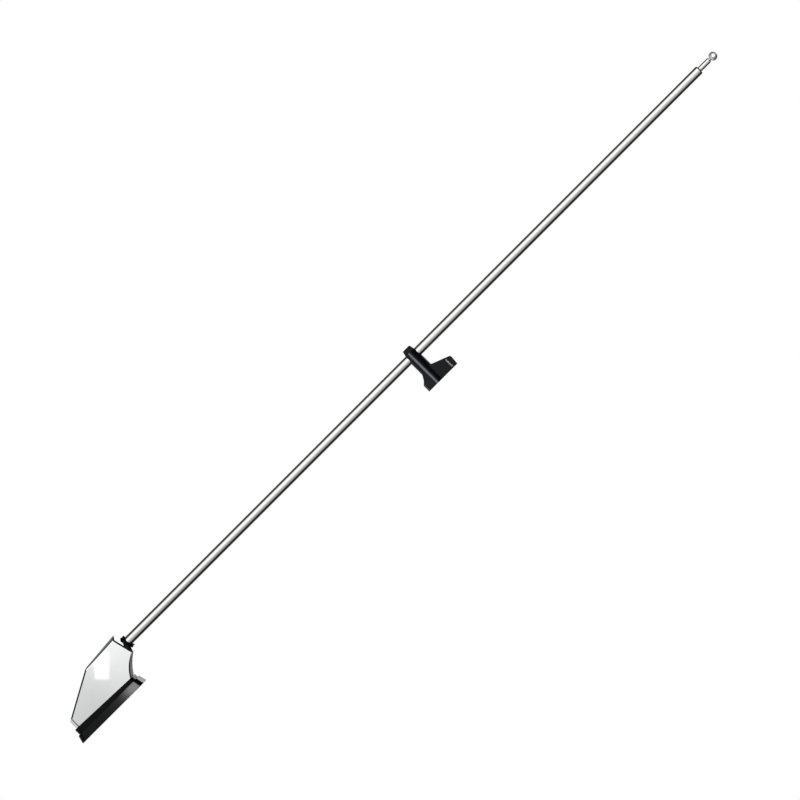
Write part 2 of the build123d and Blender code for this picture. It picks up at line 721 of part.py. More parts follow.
def main():
    """Write one STEP file for each piece."""
    os.makedirs("parts", exist_ok=True)
    for make in NODES:
        export_step(make(), f"parts/{make.__name__}.step")


main()
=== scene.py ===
import json
import math

import bmesh
import bpy
from bpy.props import (
    FloatProperty,
    FloatVectorProperty,
    IntProperty,
    PointerProperty,
)
from mathutils import Matrix, Vector


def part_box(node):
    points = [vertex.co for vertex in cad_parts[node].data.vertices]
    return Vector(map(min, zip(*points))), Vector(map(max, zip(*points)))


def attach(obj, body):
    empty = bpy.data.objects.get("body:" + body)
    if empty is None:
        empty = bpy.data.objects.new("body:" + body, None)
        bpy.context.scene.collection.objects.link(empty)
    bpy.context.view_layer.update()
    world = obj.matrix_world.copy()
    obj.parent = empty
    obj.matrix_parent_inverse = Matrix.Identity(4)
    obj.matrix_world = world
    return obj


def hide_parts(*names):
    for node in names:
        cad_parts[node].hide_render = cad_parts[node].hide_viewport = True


bl_info = {
    "name": "Side-mount telescopic aerial",
    "version": (1, 0, 0),
    "blender": (4, 5, 0),
    "location": "View3D > Sidebar > Aerial",
    "description": "Pieces and finishes of a retracted three-section vehicle aerial",
    "category": "Object",
}

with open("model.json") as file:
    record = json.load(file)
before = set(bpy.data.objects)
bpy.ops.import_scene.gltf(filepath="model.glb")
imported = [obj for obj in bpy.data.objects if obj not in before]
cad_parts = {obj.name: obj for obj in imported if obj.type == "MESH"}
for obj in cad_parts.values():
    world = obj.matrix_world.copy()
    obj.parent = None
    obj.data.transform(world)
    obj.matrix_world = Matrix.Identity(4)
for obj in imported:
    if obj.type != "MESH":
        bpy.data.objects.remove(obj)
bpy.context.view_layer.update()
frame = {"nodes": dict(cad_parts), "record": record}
MM = 0.001


def width_of(node):
    """Size of a CAD node across the mast."""
    low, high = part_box(node)
    return high.x - low.x


def reach_of(node):
    """Where a CAD node's own middle lies along Y."""
    low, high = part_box(node)
    return (low.y + high.y) / 2


def foot_of(node):
    """Lowest height of a CAD node."""
    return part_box(node)[0].z


def top_of(node):
    """Greatest height of a CAD node."""
    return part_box(node)[1].z


def length_setting(name, description, default, most=1.0):
    """A length in metres that can be changed in the sidebar."""
    return FloatProperty(
        name=name,
        description=description,
        default=default,
        min=0.0,
        max=most,
        precision=5,
        subtype="DISTANCE",
        unit="LENGTH",
    )


def tint_setting(name, description, default):
    """A colour that can be changed in the sidebar."""
    return FloatVectorProperty(
        name=name,
        description=description,
        default=default,
        size=3,
        min=0.0,
        max=1.0,
        subtype="COLOR",
    )


def number_setting(name, description, default, least=0.0, most=1000.0):
    """A plain number that can be changed in the sidebar."""
    return FloatProperty(name=name, description=description, default=default, min=least, max=most)


def height_setting(name, description, default):
    """A height above or below the aerial's origin that can be changed in the sidebar."""
    return FloatProperty(
        name=name, description=description, default=default, subtype="DISTANCE", unit="LENGTH"
    )


def share_setting(name, description, default):
    """A number from nothing to one that can be changed in the sidebar."""
    return FloatProperty(
        name=name, description=description, default=default, min=0.0, max=1.0, subtype="FACTOR"
    )


# ---- settings ---------------------------------------------------------------
class MastSettings(bpy.types.PropertyGroup):
    """Sizes of the drawn tubes and the ball."""

    outer_width: length_setting("Outer tube", "Outside diameter of the mast tube", width_of("mast_tube"))
    outer_wall: length_setting("Outer wall", "Wall of the mast tube", 0.5 * MM)
    outer_roll: length_setting("Outer roll", "Rounding of the mast tube's rolled end", 1.05 * MM)
    middle_width: length_setting(
        "Middle tube", "Outside diameter of the middle tube", width_of("middle_tube")
    )
    middle_wall: length_setting("Middle wall", "Wall of the middle tube", 0.4 * MM)
    middle_roll: length_setting("Middle roll", "Rounding of the middle tube's rolled end", 0.75 * MM)
    rod_width: length_setting("Top rod", "Diameter of the top rod", width_of("top_rod"))
    lip: length_setting("Lip", "Thickness of each rolled lip along the mast", 0.6 * MM)
    ball_width: length_setting("Ball", "Diameter of the safety ball", width_of("tip_ball"))
    sides: IntProperty(name="Sides", description="Faces round each tube", default=96, min=24, max=256)


class MouldingSettings(bpy.types.PropertyGroup):
    """Roundings of the moulded and rubber pieces."""

    pad: length_setting("Pad", "Rounding of the rubber pad's lips", 0.7 * MM)
    plate: length_setting("Plate", "Rounding of the plate's edges", 0.35 * MM)
    carrier: length_setting("Carrier", "Rounding of the carrier's edges", 0.2 * MM)
    bush: length_setting("Bush", "Rounding of the cable's bush", 0.25 * MM)
    bracket: length_setting("Stand-off", "Rounding of the stand-off's edges", 0.12 * MM)
    liner: length_setting("Liner", "Rounding of the stand-off's liner", 0.12 * MM)
    steps: IntProperty(name="Steps", description="Faces across each rounding", default=4, min=1, max=8)


class CollarSettings(bpy.types.PropertyGroup):
    """The rubber collar where the mast leaves the cover."""

    width: length_setting("Width", "Outside diameter of the collar", 10.2 * MM)
    height: length_setting("Height", "Height of the rim above the cover", 2.4 * MM)
    dish: length_setting("Dish", "Depth of the dish round the mast", 1.3 * MM)
    bore_width: length_setting("Bore", "Diameter of the hole for the mast", width_of("mast_tube") + 0.04 * MM)
    sleeve_width: length_setting("Sleeve", "Diameter of the sleeve in the cover's hole", 8.9 * MM)
    crown: length_setting("Crown", "Radius of the cover's crowned end", 21.6 * MM)
    saddle: length_setting("Saddle", "How much lower the rim is in front than at its sides", 1.3 * MM)
    seat_depth: length_setting("Seat depth", "How deep the sleeve reaches below the cover's crest", 4.9 * MM)
    tilt: number_setting("Tilt", "Slope of the cover's end in degrees", 15.0, most=45.0)
    rim_tilt: number_setting("Rim tilt", "Slope of the rim in degrees", 7.0, most=45.0)


class ScrewSettings(bpy.types.PropertyGroup):
    """The pair of screws in the cover's lower end."""

    count: IntProperty(name="Screws", description="How many cover screws there are", default=2, min=1, max=4)
    head_width: length_setting("Head", "Diameter of a cover screw's head", 4.4 * MM)
    shank_width: length_setting("Shank", "Diameter of a cover screw's thread", 2.46 * MM)
    head_height: length_setting("Head height", "Height of the head's straight rim", 0.5 * MM)
    thread_pitch: length_setting("Thread pitch", "Distance between two turns of the thread", 0.45 * MM)
    recess_width: length_setting("Recess", "Length of the cross recess", 2.6 * MM)


class FinishSettings(bpy.types.PropertyGroup):
    """Colours of the finishes."""

    chrome: tint_setting("Chrome", "Bright plating of the cover and the ball", (0.80, 0.81, 0.82))
    mast: tint_setting("Mast", "Polished metal of the tubes", (0.80, 0.80, 0.81))
    moulding: tint_setting("Moulding", "Grained black plastic", (0.0045, 0.0048, 0.0045))
    gloss: tint_setting("Gloss moulding", "Polished black plastic of the stand-off", (0.0035, 0.0038, 0.0045))
    rubber: tint_setting("Rubber", "Black rubber of the pad and the bushes", (0.0045, 0.0050, 0.0055))
    steel: tint_setting("Plated steel", "Zinc-plated steel of the screws", (0.66, 0.67, 0.67))
    brass: tint_setting("Brass", "Turned brass of the plugs and stops", (0.78, 0.60, 0.30))
    bronze: tint_setting("Bronze", "Spring bronze of the friction springs", (0.66, 0.42, 0.24))
    nylon: tint_setting("Nylon", "Dark nylon of the stand-off's liner", (0.055, 0.055, 0.06))
    floor: tint_setting("Floor", "Pale studio floor", (0.86, 0.86, 0.85))


class StageSettings(bpy.types.PropertyGroup):
    """Floor, camera and studio."""

    floor_height: height_setting("Floor height", "Height of the floor's top", -0.2)
    floor_radius: length_setting("Floor radius", "Radius of the round floor", 0.45)
    camera_distance: length_setting("Camera distance", "From the mast's plane to the camera", 2.0, most=10.0)
    focal_length: number_setting("Focal length", "Focal length in millimetres", 131.8, least=10.0)
    camera_reach: height_setting("Camera reach", "The camera's place along Y", -0.01278)
    camera_height: height_setting("Camera height", "The camera's height", 0.28815)
    studio: share_setting("Studio", "Strength of the studio's light", 1.0)
    pad_lamp: number_setting("Pad lamp", "Power of the lamp near the pad's upper end", 0.025)
    tip_lamp: number_setting("Tip lamp", "Power of the lamp before the ball", 0.2)
    column_lamp: number_setting("Column lamp", "Power of the lamp before the stand-off", 0.25)


GROUPS = {
    "aerial_mast": MastSettings,
    "aerial_moulding": MouldingSettings,
    "aerial_collar": CollarSettings,
    "aerial_screws": ScrewSettings,
    "aerial_finish": FinishSettings,
    "aerial_stage": StageSettings,
}


# ---- shader maths -----------------------------------------------------------
class Wire:
    """A socket's output that takes Python's operators."""

    def __init__(self, recipe, socket):
        self.recipe = recipe
        self.socket = socket

    def _maths(self, operation, first, second):
        node = self.recipe.node("ShaderNodeMath", {"operation": operation}, {0: first, 1: second})
        return Wire(self.recipe, node.outputs[0])

    def __add__(self, other):
        return self._maths("ADD", self, other)

    def __sub__(self, other):
        return self._maths("SUBTRACT", self, other)

    def __mul__(self, other):
        return self._maths("MULTIPLY", self, other)

    def __truediv__(self, other):
        return self._maths("DIVIDE", self, other)

    def __rsub__(self, other):
        return self._maths("SUBTRACT", other, self)

    def __rtruediv__(self, other):
        return self._maths("DIVIDE", other, self)

    __radd__ = __add__
    __rmul__ = __mul__

    def atan2(self, other):
        return self._maths("ARCTAN2", self, other)

    def asin(self):
        return self._maths("ARCSINE", self, 0.0)

    def size(self):
        return self._maths("ABSOLUTE", self, 0.0)

    def greater(self, other):
        return self._maths("MAXIMUM", self, other)


class Recipe:
    """The node tree of a material or a world, with one way to add any node."""

    def __init__(self, owner):
        owner.use_nodes = True
        self.tree = owner.node_tree
        self.tree.nodes.clear()

    def node(self, kind, settings=None, values=None):
        """Adds a node: its settings first, then the values or links of its sockets."""
        node = self.tree.nodes.new(kind)
        for key, value in (settings or {}).items():
            if key == "stops":
                self.set_stops(node.color_ramp, value)
            elif key == "blending":
                node.color_ramp.interpolation = value
            else:
                setattr(node, key, value)
        for key, value in (values or {}).items():
            if isinstance(value, Wire):
                self.tree.links.new(value.socket, node.inputs[key])
            else:
                node.inputs[key].default_value = value
        return node

    def wire(self, kind, output, settings=None, values=None):
        """Adds a node and gives one of its outputs."""
        return Wire(self, self.node(kind, settings, values).outputs[output])

    def set_stops(self, ramp, stops):
        """Fills a colour ramp from (place, colour) pairs."""
        while len(ramp.elements) > 1:
            ramp.elements.remove(ramp.elements[-1])
        ramp.elements[0].position = stops[0][0]
        ramp.elements[0].color = stops[0][1]
        for place, colour in stops[1:]:
            ramp.elements.new(place).color = colour

    def place(self, stretch=(1, 1, 1), turn=(0, 0, 0)):
        """Object coordinates, stretched and turned."""
        here = self.wire("ShaderNodeTexCoord", "Object")
        values = {"Vector": here, "Rotation": turn, "Scale": stretch}
        return self.wire("ShaderNodeMapping", "Vector", None, values)

    def noise(self, scale, detail=3.0, roughness=0.5, stretch=(1, 1, 1), turn=(0, 0, 0), distortion=0.0):
        """Noise of a given number of features per metre."""
        return self.wire(
            "ShaderNodeTexNoise",
            "Fac",
            {"normalize": True},
            {
                "Vector": self.place(stretch, turn),
                "Scale": scale,
                "Detail": detail,
                "Roughness": roughness,
                "Distortion": distortion,
            },
        )

    def cells(self, scale, output="Distance", stretch=(1, 1, 1)):
        """Cell pattern of a given number of cells per metre."""
        values = {"Vector": self.place(stretch), "Scale": scale}
        return self.wire("ShaderNodeTexVoronoi", output, None, values)

    def between(self, value, low, high, start=0.0, end=1.0):
        """A smooth change from start to end as the value passes from low to high."""
        return self.wire(
            "ShaderNodeMapRange",
            "Result",
            {"interpolation_type": "SMOOTHSTEP"},
            {"Value": value, "From Min": low, "From Max": high, "To Min": start, "To Max": end},
        )

    def mix(self, factor, first, second):
        """A colour between two colours."""
        return self.wire(
            "ShaderNodeMix",
            2,
            {"data_type": "RGBA", "clamp_factor": True},
            {0: factor, 6: first, 7: second},
        )

    def bump(self, height, depth, strength=1.0, over=None):
        """A normal from a height between 0 and 1 and its depth in metres."""
        values = {"Height": height, "Distance": depth, "Strength": strength}
        if over is not None:
            values["Normal"] = over
        return self.wire("ShaderNodeBump", "Normal", None, values)

    def finish(self, colour, roughness, normal, constants):
        """Ends the tree in one shader; what is the same all over is set on its own sockets."""
        values = {"Base Color": colour, "Roughness": roughness, "Normal": normal}
        values.update(constants)
        shader = self.wire("ShaderNodeBsdfPrincipled", "BSDF", None, values)
        self.node("ShaderNodeOutputMaterial", None, {"Surface": shader})


def shade(colour, amount):
    """A colour made darker or lighter, with full alpha."""
    return tuple(min(1.0, channel * amount) for channel in colour) + (1.0,)


def tinted(colour, by, amount):
    """A colour multiplied by another, with full alpha."""
    return tuple(min(1.0, channel * other * amount) for channel, other in zip(colour, by)) + (1.0,)


# ---- finishes ---------------------------------------------------------------
def chrome_plating(recipe, tint):
    """Bright plating on a cast shell: slight waviness, haze, hairlines and pin spots."""
    wave = recipe.noise(70, detail=2)
    haze = recipe.noise(160, detail=5, roughness=0.6)
    hairline = recipe.noise(900, detail=2, stretch=(1, 0.06, 6), turn=(0.9, 0.2, 0.0))
    spots = recipe.between(recipe.cells(900), 0.10, 0.02)
    rare = recipe.between(recipe.noise(230, detail=0), 0.56, 0.66)
    pitting = spots * rare
    colour = recipe.mix(haze, shade(tint, 0.97), shade(tint, 1.03))
    colour = recipe.mix(pitting * 0.6, colour, shade(tint, 0.45))
    roughness = 0.035 + recipe.between(haze, 0.45, 0.8) * 0.03
    roughness = roughness + recipe.between(hairline, 0.62, 0.8) * 0.03 + pitting * 0.3
    normal = recipe.bump(wave, 0.000008)
    normal = recipe.bump(pitting, 0.00001, 0.5, over=normal)
    recipe.finish(colour, roughness, normal, {"Metallic": 1.0})


def satin_plating(recipe, tint):
    """Satin plating of the small ball: fine blasted grain, soft clouds and rubbed spots."""
    grain = recipe.noise(5200, detail=3)
    cloud = recipe.noise(420, detail=3)
    rubbed = recipe.between(recipe.noise(700, detail=2), 0.58, 0.72)
    colour = recipe.mix(cloud, shade(tint, 1.02), shade(tint, 1.16))
    colour = recipe.mix(rubbed * 0.3, colour, shade(tint, 0.9))
    roughness = 0.48 + grain * 0.08 - rubbed * 0.10
    normal = recipe.bump(grain, 0.000003)
    recipe.finish(colour, roughness, normal, {"Metallic": 1.0})


def drawn_tube(recipe, tint):
    """Polished drawn tube: fine lines along the mast and rings where the sections rub."""
    lines = recipe.noise(1500, detail=3, stretch=(1, 1, 0.012))
    rub = recipe.noise(700, detail=2, stretch=(0.02, 0.02, 1))
    haze = recipe.noise(55, detail=4, roughness=0.6, stretch=(1, 1, 0.4))
    colour = recipe.mix(haze, shade(tint, 0.96), shade(tint, 1.04))
    colour = recipe.mix(recipe.between(lines, 0.6, 0.8) * 0.35, colour, shade(tint, 0.86))
    roughness = 0.05 + recipe.between(lines, 0.4, 0.75) * 0.05
    roughness = roughness + recipe.between(rub, 0.55, 0.75) * 0.04 + haze * 0.03
    normal = recipe.bump(lines, 0.0000012)
    recipe.finish(colour, roughness, normal, {"Metallic": 1.0})


def grained_moulding(recipe, tint):
    """Black plastic with a fine spark-eroded grain and slight scuffs."""
    grain = recipe.noise(3800, detail=4, roughness=0.6)
    cloud = recipe.noise(120, detail=3)
    scuff = recipe.between(recipe.noise(900, detail=3, stretch=(1, 0.1, 1), turn=(0.0, 0.5, 0.3)), 0.64, 0.76)
    colour = recipe.mix(cloud, shade(tint, 0.8), shade(tint, 1.3))
    colour = recipe.mix(scuff * 0.5, colour, shade(tint, 3.0))
    roughness = 0.24 + grain * 0.10 + cloud * 0.04 - scuff * 0.05
    normal = recipe.bump(grain, 0.000010)
    recipe.finish(colour, roughness, normal, {"Specular IOR Level": 0.12})


def polished_moulding(recipe, tint):
    """Glossy black plastic: flow waviness, lighter bluish cloudy patches, faint dust and fine scratches."""
    flow = recipe.noise(130, detail=2, distortion=0.6)
    dust = recipe.noise(2600, detail=2)
    haze = recipe.noise(210, detail=5, roughness=0.65)
    scratch = recipe.noise(1400, detail=1, stretch=(1, 0.05, 0.4), turn=(0.6, 0.1, 0.2))
    scratch = recipe.between(scratch, 0.68, 0.76)
    colour = recipe.mix(haze, shade(tint, 0.75), tinted(tint, (1.0, 1.05, 1.2), 1.5))
    colour = recipe.mix(recipe.between(dust, 0.72, 0.80) * 0.3, colour, (0.05, 0.05, 0.055, 1.0))
    roughness = 0.16 + haze * 0.06 + scratch * 0.10
    normal = recipe.bump(flow, 0.000004)
    normal = recipe.bump(scratch, 0.000004, 0.6, over=normal)
    recipe.finish(colour, roughness, normal, {"Specular IOR Level": 0.16})


def moulded_rubber(recipe, tint):
    """Black rubber: matt skin with a fine grain, bluish lighter patches of painted sheen and handling marks.
    """
    grain = recipe.noise(3000, detail=5, roughness=0.65)
    painted_sheen_noise = recipe.noise(95, detail=4, roughness=0.6)
    marks = recipe.between(recipe.noise(500, detail=3, stretch=(1, 1, 0.3)), 0.60, 0.74)
    # Painted sheen: bluish lighter patches in the base colour stand in for the glossy reflection along the
    # rubber.
    painted_sheen_blue = tinted(tint, (1.0, 1.1, 1.35), 1.6)
    colour = recipe.mix(recipe.between(painted_sheen_noise, 0.35, 0.75), shade(tint, 0.7), painted_sheen_blue)
    colour = recipe.mix(marks * 0.4, colour, shade(tint, 2.4))
    roughness = 0.10 + grain * 0.03 + painted_sheen_noise * 0.04
    normal = recipe.bump(grain, 0.0000004)
    recipe.finish(colour, roughness, normal, {"Specular IOR Level": 0.12})


def plated_steel(recipe, tint):
    """Zinc-plated steel: small spangle, a cool and warm passivated tint, turning marks."""
    spangle = recipe.cells(1300, "Color")
    tone = recipe.wire("ShaderNodeSeparateColor", "Red", None, {"Color": spangle})
    drift = recipe.noise(260, detail=2)
    colour = recipe.mix(drift, tinted(tint, (0.94, 0.98, 1.06), 1.0), tinted(tint, (1.06, 1.02, 0.92), 1.0))
    colour = recipe.mix(tone * 0.35, colour, shade(tint, 0.78))
    roughness = 0.42 + tone * 0.08 + recipe.noise(2400, detail=3) * 0.06
    normal = recipe.bump(recipe.noise(1800, detail=4), 0.000002)
    recipe.finish(colour, roughness, normal, {"Metallic": 1.0})


def turned_brass(recipe, tint):
    """Turned brass: close rings across the mast and a little tarnish."""
    rings = recipe.noise(3200, detail=2, stretch=(0.04, 0.04, 1))
    tarnish = recipe.noise(240, detail=4, roughness=0.6)
    dull = tinted(tint, (0.80, 0.66, 0.5), 0.9)
    colour = recipe.mix(recipe.between(tarnish, 0.45, 0.75), shade(tint, 1.05), dull)
    colour = recipe.mix(rings * 0.25, colour, shade(tint, 0.75))
    roughness = 0.17 + rings * 0.12 + tarnish * 0.10
    normal = recipe.bump(rings, 0.000006)
    recipe.finish(colour, roughness, normal, {"Metallic": 1.0})


def spring_bronze(recipe, tint):
    """Rolled bronze strip: rolling lines and darker heat tint."""
    rolling = recipe.noise(2600, detail=3, stretch=(1, 1, 0.05))
    heat = recipe.noise(300, detail=3)
    heated = tinted(tint, (0.74, 0.55, 0.62), 0.9)
    colour = recipe.mix(recipe.between(heat, 0.4, 0.75), shade(tint, 1.05), heated)
    colour = recipe.mix(rolling * 0.25, colour, shade(tint, 0.7))
    roughness = 0.22 + rolling * 0.12 + heat * 0.08
    normal = recipe.bump(rolling, 0.000004)
    recipe.finish(colour, roughness, normal, {"Metallic": 1.0})


def dark_nylon(recipe, tint):
    """Dark nylon: waxy surface with cloudy patches and fine machining marks."""
    cloud = recipe.noise(300, detail=4)
    marks = recipe.noise(3000, detail=2, stretch=(0.06, 0.06, 1))
    colour = recipe.mix(cloud, shade(tint, 0.88), shade(tint, 1.08))
    colour = recipe.mix(recipe.between(marks, 0.55, 0.8) * 0.3, colour, shade(tint, 0.75))
    roughness = 0.34 + marks * 0.12 + cloud * 0.06
    normal = recipe.bump(marks, 0.000008)
    recipe.finish(colour, roughness, normal, {"Specular IOR Level": 0.5})


def studio_floor(recipe, tint):
    """Pale painted floor with a very soft mottling."""
    mottle = recipe.noise(14, detail=4)
    grain = recipe.noise(800, detail=3)
    colour = recipe.mix(mottle, shade(tint, 0.985), shade(tint, 1.01))
    roughness = 0.6 + grain * 0.1
    recipe.finish(colour, roughness, recipe.bump(grain, 0.00002), {})


FINISHES = {
    "bright_chrome": (chrome_plating, "chrome"),
    "satin": (satin_plating, "chrome"),
    "mast_metal": (drawn_tube, "mast"),
    "black_moulding": (grained_moulding, "moulding"),
    "gloss_moulding": (polished_moulding, "gloss"),
    "pad_rubber": (moulded_rubber, "rubber"),
    "plated_steel": (plated_steel, "steel"),
    "brass": (turned_brass, "brass"),
    "spring_bronze": (spring_bronze, "bronze"),
    "nylon": (dark_nylon, "nylon"),
    "floor_paint": (studio_floor, "floor"),
}


def finish_for(slot):
    """The material of a finish, made the first time that it is asked for."""
    material = bpy.data.materials.get(slot + "_finish")
    if material is None:
        material = bpy.data.materials.new(slot + "_finish")
        make, tint = FINISHES[slot]
        colours = bpy.context.scene.aerial_finish
        make(Recipe(material), tuple(getattr(colours, tint)))
    return material


def coat_cad_node(name, slot):
    """Gives a carried CAD node its finish."""
    node = frame["nodes"][name]
    node.data.materials.clear()
    node.data.materials.append(finish_for(slot))


# ---- mesh helpers -----------------------------------------------------------
def add_object(name, mesh):
    """Links a mesh into the scene as an object at the origin."""
    piece = bpy.data.objects.new(name, mesh)
    bpy.context.scene.collection.objects.link(piece)
    return piece


def set_down(piece, body, slot, *nodes):
    """Sets down a finished piece: gives it its finish, hangs it on its body and hides the CAD nodes it stands
    for.
    """
    piece.data.materials.clear()
    piece.data.materials.append(finish_for(slot))
    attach(piece, body)
    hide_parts(*nodes)


def settled(piece, name):
    """A plain mesh object of what a piece's modifiers make; the piece itself goes."""
    graph = bpy.context.evaluated_depsgraph_get()
    mesh = bpy.data.meshes.new_from_object(piece.evaluated_get(graph))
    bpy.data.objects.remove(piece)
    mesh.name = name
    return add_object(name, mesh)


def corner_points(before, at, after, radius, steps):
    """Points of the arc that rounds one corner, held by a close point at each end."""
    back = (before - at).normalized()
    ahead = (after - at).normalized()
    half_angle = back.angle(ahead) / 2
    run = radius / math.tan(half_angle)
    start, end = at + back * run, at + ahead * run
    centre = at + (back + ahead).normalized() * (radius / math.sin(half_angle))
    hold = 0.03 * MM
    points = [start + back * hold]
    for step in range(steps + 1):
        share = step / steps
        point = start.lerp(end, share) - centre
        points.append(centre + point.normalized() * radius)
    points.append(end + ahead * hold)
    return points


def rounded_outline(corners, steps=6, closed=True):
    """Outline from (radius, height, rounding) corners."""
    spots = [Vector((radius, height)) for radius, height, _ in corners]
    outline = []
    for index, (_, _, rounding) in enumerate(corners):
        at_end = not closed and index in (0, len(corners) - 1)
        if rounding <= 0 or at_end:
            outline.append(spots[index])
            continue
        after = spots[(index + 1) % len(spots)]
        outline += corner_points(spots[index - 1], spots[index], after, rounding, steps)
    return outline


def turned_mesh(name, outline, sides, axis_y, closed):
    """Turns an outline of (radius, height) points round an axis along Z."""
    work = bmesh.new()
    rings = []
    for radius, height in outline:
        if radius < 1e-9:
            rings.append([work.verts.new((0, axis_y, height))])
            continue
        ring = []
        for side in range(sides):
            angle = 2 * math.pi * side / sides
            spot = (radius * math.cos(angle), axis_y + radius * math.sin(angle), height)
            ring.append(work.verts.new(spot))
        rings.append(ring)
    pairs = list(zip(rings, rings[1:]))
    if closed:
        pairs.append((rings[-1], rings[0]))
    for lower, upper in pairs:
        for side in range(sides):
            after = (side + 1) % sides
            corners = [lower[side % len(lower)], lower[after % len(lower)]]
            corners += [upper[after % len(upper)], upper[side % len(upper)]]
            work.faces.new(list(dict.fromkeys(corners)))
    bmesh.ops.recalc_face_normals(work, faces=work.faces)
    for face in work.faces:
        face.smooth = True
    mesh = bpy.data.meshes.new(name)
    work.to_mesh(mesh)
    work.free()
    return mesh


def rounded_copy(node, name, width, steps):
    """A merged copy of a CAD node with its sharp edges rounded."""
    work = bmesh.new()
    work.from_mesh(frame["nodes"][node].data)
    bmesh.ops.remove_doubles(work, verts=work.verts, dist=1e-6)
    bmesh.ops.dissolve_limit(work, angle_limit=math.radians(0.5), verts=work.verts, edges=work.edges)
    for face in work.faces:
        face.smooth = True
    mesh = bpy.data.meshes.new(name + "_plain")
    work.to_mesh(mesh)
    work.free()
    piece = add_object(name + "_plain", mesh)
    bevel = piece.modifiers.new("Rounding", "BEVEL")
    bevel.width = width
    bevel.segments = steps
    bevel.limit_method = "ANGLE"
    bevel.angle_limit = math.radians(28)
    bevel.use_clamp_overlap = True
    bevel.harden_normals = True
    shading = piece.modifiers.new("Shading", "WEIGHTED_NORMAL")
    shading.keep_sharp = True
    return settled(piece, name)


def rolled_tube_outline(outer, wall, mouth, foot, top, lip, roll):
    """Outline of a drawn tube whose upper end is rolled in round the next section."""
    bore = outer - wall
    return rounded_outline(
        [
            (outer, foot, 0.1 * MM),
            (outer, top, roll),
            (mouth, top, 0.14 * MM),
            (mouth, top - lip, 0.1 * MM),
            (bore, top - lip, 0.08 * MM),
            (bore, foot, 0.1 * MM),
        ]
    )


# ---- pieces -----------------------------------------------------------------
class AERIAL_OT_mast_tube(bpy.types.Operator):
    """Make the mast's outer tube with its rolled upper end"""

    bl_idname = "aerial.mast_tube"
    bl_label = "Mast tube"

    def execute(self, context):
        sizes = context.scene.aerial_mast
        outline = rolled_tube_outline(
            sizes.outer_width / 2,
            sizes.outer_wall,
            sizes.middle_width / 2 + 0.12 * MM,
            foot_of("mast_tube"),
            top_of("mast_tube"),
            sizes.lip,
            sizes.outer_roll,
        )
        mesh = turned_mesh("mast_tube_drawn", outline, sizes.sides, reach_of("mast_tube"), closed=True)
        set_down(add_object("mast_tube_drawn", mesh), "base", "mast_metal", "mast_tube")
        return {"FINISHED"}


class AERIAL_OT_middle_tube(bpy.types.Operator):
    """Make the middle section's tube with its rolled upper end"""

    bl_idname = "aerial.middle_tube"
    bl_label = "Middle tube"

    def execute(self, context):
        sizes = context.scene.aerial_mast
        outline = rolled_tube_outline(
            sizes.middle_width / 2,
            sizes.middle_wall,
            sizes.rod_width / 2 + 0.12 * MM,
            foot_of("middle_tube"),
            top_of("middle_tube"),
            sizes.lip,
            sizes.middle_roll,
        )
        mesh = turned_mesh("middle_tube_drawn", outline, sizes.sides, reach_of("middle_tube"), closed=True)
        set_down(add_object("middle_tube_drawn", mesh), "middle_section", "mast_metal", "middle_tube")
        return {"FINISHED"}


class AERIAL_OT_tip_ball(bpy.types.Operator):
    """Make the safety ball with the bore that takes the rod"""

    bl_idname = "aerial.tip_ball"
    bl_label = "Tip ball"

    def execute(self, context):
        sizes = context.scene.aerial_mast
        radius = sizes.ball_width / 2
        bore = sizes.rod_width / 2 + 0.01 * MM
        centre = top_of("tip_ball") - radius
        start = math.asin(min(1.0, (bore + 0.12 * MM) / radius))
        outline = [Vector((bore, centre)), Vector((bore, centre - radius * math.cos(start) + 0.1 * MM))]
        steps = 48
        for step in range(steps + 1):
            angle = start + (math.pi - start) * step / steps
            outline.append(Vector((radius * math.sin(angle), centre - radius * math.cos(angle))))
        outline[-1].x = 0.0
        outline.insert(0, Vector((0.0, centre)))
        mesh = turned_mesh("safety_ball", outline, sizes.sides, reach_of("tip_ball"), closed=False)
        ball = add_object("safety_ball", mesh)
        set_down(ball, "top_section", "bright_chrome", "tip_ball")
        ball.data.materials[0] = finish_for("satin")
        return {"FINISHED"}


class AERIAL_OT_stand_off(bpy.types.Operator):
    """Make the moulded stand-off and its liner, with rounded edges"""

    bl_idname = "aerial.stand_off"
    bl_label = "Stand-off"

    def execute(self, context):
        sizes = context.scene.aerial_moulding
        bracket = rounded_copy("stand_off_bracket", "stand_off_moulding", sizes.bracket, sizes.steps)
        set_down(bracket, "stand_off", "gloss_moulding", "stand_off_bracket")
        liner = rounded_copy("stand_off_liner", "stand_off_split_liner", sizes.liner, 2)
        set_down(liner, "stand_off_slider", "nylon", "stand_off_liner")
        return {"FINISHED"}


class AERIAL_OT_base_rubber(bpy.types.Operator):
    """Make the rubber pad and the cable's bush"""

    bl_idname = "aerial.base_rubber"
    bl_label = "Base rubber"

    def execute(self, context):
        sizes = context.scene.aerial_moulding
        pad = rounded_copy("base_gasket", "base_pad", sizes.pad, sizes.steps)
        set_down(pad, "base", "pad_rubber", "base_gasket")
        bush = rounded_copy("cable_grommet", "cable_bush", sizes.bush, sizes.steps)
        set_down(bush, "base", "pad_rubber", "cable_grommet")
        return {"FINISHED"}


